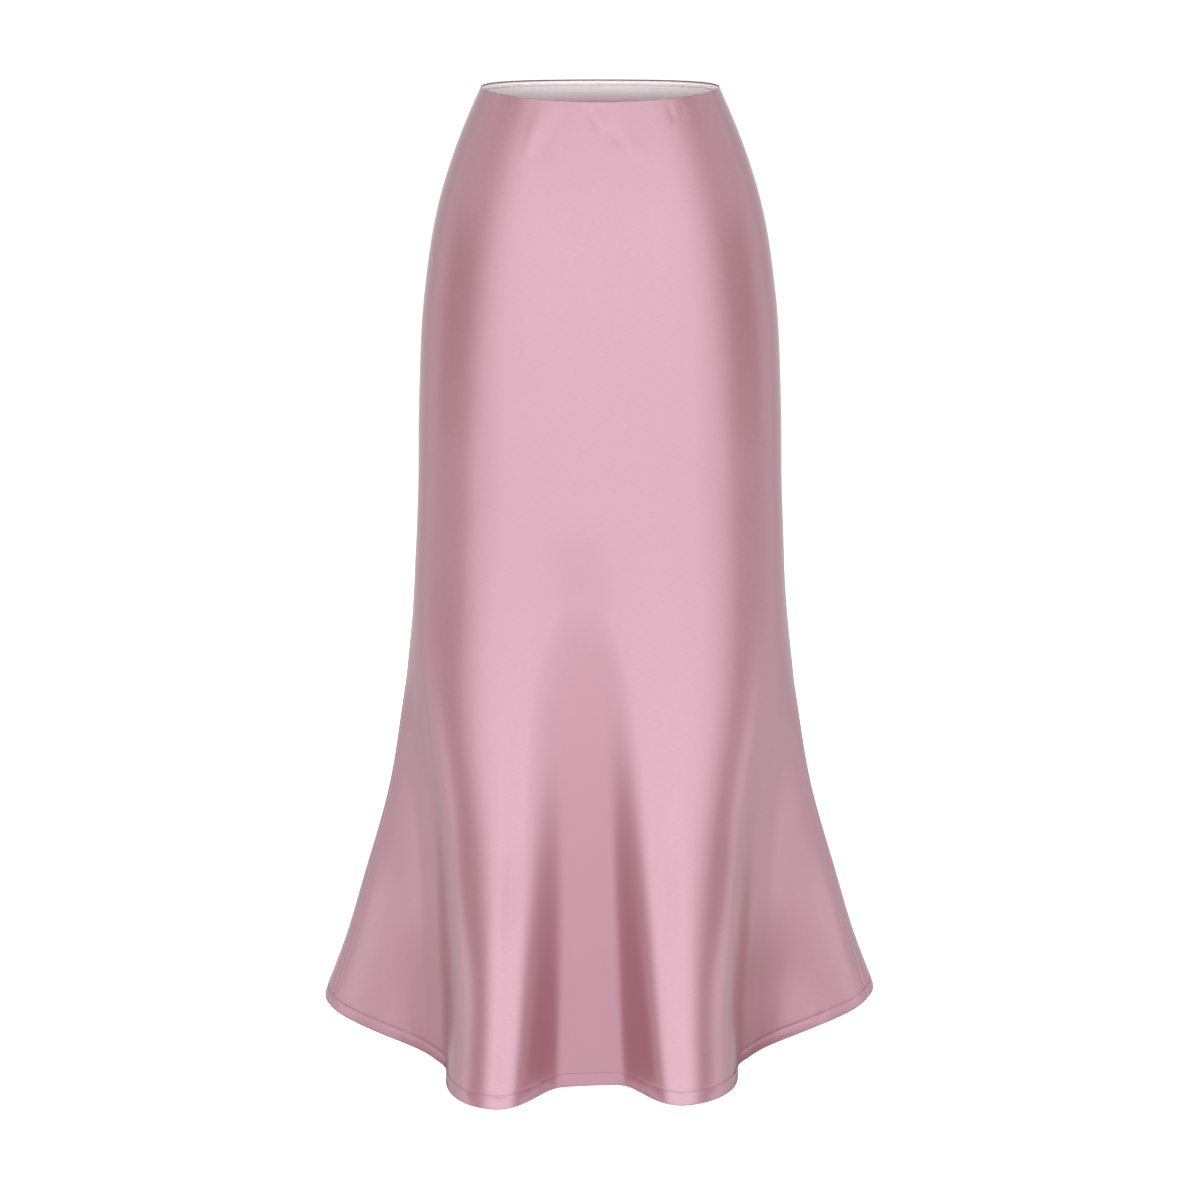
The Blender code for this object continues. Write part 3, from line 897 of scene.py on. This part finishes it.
floor_mesh = bpy.data.meshes.new("studio_floor")
half_floor = FLOOR_SIZE / 2
corner_signs = ((-1, -1), (1, -1), (1, 1), (-1, 1))
floor_corners = [(x * half_floor, y * half_floor, -FLOOR_DROP) for x, y in corner_signs]
floor_mesh.from_pydata(floor_corners, [], [(0, 1, 2, 3)])
floor_mesh.materials.append(pale_floor())
floor = bpy.data.objects.new("studio_floor", floor_mesh)
bpy.context.scene.collection.objects.link(floor)

# The floor must not dim the cloth's lower half, so it is left out of gloss and of shadows.
floor.visible_glossy = False
floor.visible_shadow = False

BACKDROP_RADIUS = 50.0
BACKDROP_TOP = 60.0
BACKDROP_SIDES = 96


def round_backdrop():
    """A pale paper wall all round, whose corners are radius times the sine and cosine of a
    turn, low and high. It glows evenly, and only the camera sees it, so it lights nothing."""
    turn = np.linspace(0.0, 2 * np.pi, BACKDROP_SIDES, endpoint=False)
    ring = np.stack([np.cos(turn), np.sin(turn)], axis=1) * BACKDROP_RADIUS
    low = np.column_stack([ring, np.full(BACKDROP_SIDES, -FLOOR_DROP)])
    high = np.column_stack([ring, np.full(BACKDROP_SIDES, BACKDROP_TOP)])
    here = np.arange(BACKDROP_SIDES)
    right = np.roll(here, -1)
    quads = np.stack([here, here + BACKDROP_SIDES, right + BACKDROP_SIDES, right], axis=1)
    mesh = bpy.data.meshes.new("studio_backdrop")
    mesh.from_pydata(np.concatenate([low, high]).tolist(), [], quads.tolist())
    made, tree = new_material("lit_backdrop_paper")
    glow = node(tree, "ShaderNodeEmission", Color=linear("#FFFFFF"), Strength=1.0)
    node(tree, "ShaderNodeOutputMaterial", {"Surface": glow.outputs["Emission"]})
    mesh.materials.append(made)
    wall = bpy.data.objects.new("studio_backdrop", mesh)
    bpy.context.scene.collection.objects.link(wall)
    for ray in ("diffuse", "glossy", "transmission", "shadow"):
        setattr(wall, "visible_" + ray, False)
    return wall


backdrop = round_backdrop()

WORLD_STOPS = ((0.0, 0.09), (0.5, 0.10), (0.65, 0.21), (0.82, 1.28), (1.0, 1.7))


def studio_air():
    """Pale air whose brightness grows from the horizon to the ceiling: the height of the
    direction looked at, from minus one to one, is moved to 0 to 1 and read off a ramp."""
    air = bpy.data.worlds.new("studio_air")
    air.use_nodes = True
    tree = air.node_tree
    tree.nodes.clear()
    place = node(tree, "ShaderNodeTexCoord")
    parts = node(tree, "ShaderNodeSeparateXYZ", {"Vector": place.outputs["Generated"]})
    height = node(tree, "ShaderNodeMapRange", {"Value": parts.outputs["Z"]}, From_Min=-1.0, From_Max=1.0)
    ramp = node(tree, "ShaderNodeValToRGB", {"Fac": height.outputs["Result"]})
    stops = ramp.color_ramp.elements
    for index, (at, grey) in enumerate(WORLD_STOPS):
        stop = stops[index] if index < 2 else stops.new(at)
        stop.position = at
        stop.color = (grey, grey, grey, 1.0)
    light = node(tree, "ShaderNodeBackground", {"Color": ramp.outputs["Color"]}, Strength=1.0)
    node(tree, "ShaderNodeOutputWorld", {"Surface": light.outputs["Background"]})
    return air


bpy.context.scene.world = studio_air()
bpy.context.scene.view_settings.view_transform = "Standard"
print("floor", FLOOR_DROP, "m below the waist")

# %% Soft lights
# Every row is a rectangle of light on a ring round the skirt, which stands distance away from
# the point at this height on its axis. spread and rise_spread are the half angles that it
# fills from there, and brightness is its radiance. Rows off the middle are doubled on the
# other side.
Light = namedtuple("Light", "name azimuth elevation spread rise_spread distance height brightness")
LIGHTS = (
    Light("front_wall", 0.0, 2.0, 30.0, 30.0, 3.4, -0.50, 4.12),
    Light("front_wing", 37.5, 2.0, 7.5, 30.0, 3.4, -0.50, 4.12),
    Light("wing_edge", 50.0, 2.0, 5.0, 30.0, 3.4, -0.50, 3.45),
    Light("low_side", 60.0, -18.0, 5.0, 10.0, 3.4, -0.50, 4.00),
    Light("high_side", 60.0, 12.0, 5.0, 20.0, 3.4, -0.50, 2.15),
    Light("flare_side", 86.0, -6.0, 16.0, 7.0, 1.3, -0.85, 1.00),
    Light("low_rear", 82.5, -18.0, 17.5, 10.0, 3.4, -0.50, 1.75),
    Light("level_rear", 82.5, 2.0, 17.5, 10.0, 3.4, -0.50, 0.85),
    Light("high_rear", 82.5, 22.0, 17.5, 10.0, 3.4, -0.50, 1.65),
    Light("rear_side", 112.5, 2.0, 12.5, 30.0, 3.4, -0.50, 1.40),
    Light("rear_quarter", 142.5, 2.0, 17.5, 30.0, 3.4, -0.50, 0.90),
    Light("rear_wall", 180.0, 2.0, 20.0, 30.0, 3.4, -0.50, 1.20),
)
MIDDLE = (0.0, 180.0)


def soft_light(row, side):
    """A softbox that faces the skirt from an azimuth and an elevation. Its sides are twice
    the distance times the tangent of its half angles, and its power is radiance times pi
    times its area."""
    turn, rise = np.radians(side * row.azimuth), np.radians(row.elevation)
    towards = np.array([np.sin(turn) * np.cos(rise), -np.cos(turn) * np.cos(rise), np.sin(rise)])
    name = row.name
    if row.azimuth not in MIDDLE:
        name += "_left" if side > 0 else "_right"
    data = bpy.data.lights.new(name, "AREA")
    data.shape = "RECTANGLE"
    data.size = 2 * row.distance * np.tan(np.radians(row.spread)) * np.cos(rise)
    data.size_y = 2 * row.distance * np.tan(np.radians(row.rise_spread))
    data.energy = row.brightness * np.pi * data.size * data.size_y
    lamp = bpy.data.objects.new(name, data)
    lamp.visible_camera = False
    lamp.location = Vector(np.array([0.0, 0.0, row.height]) + row.distance * towards)
    lamp.rotation_euler = Vector(towards).to_track_quat("Z", "Y").to_euler()
    bpy.context.scene.collection.objects.link(lamp)
    return lamp


lamps = [
    soft_light(row, side)
    for row in LIGHTS
    for side in ((1.0,) if row.azimuth in MIDDLE else (1.0, -1.0))
]
print(len(lamps), "soft lights")
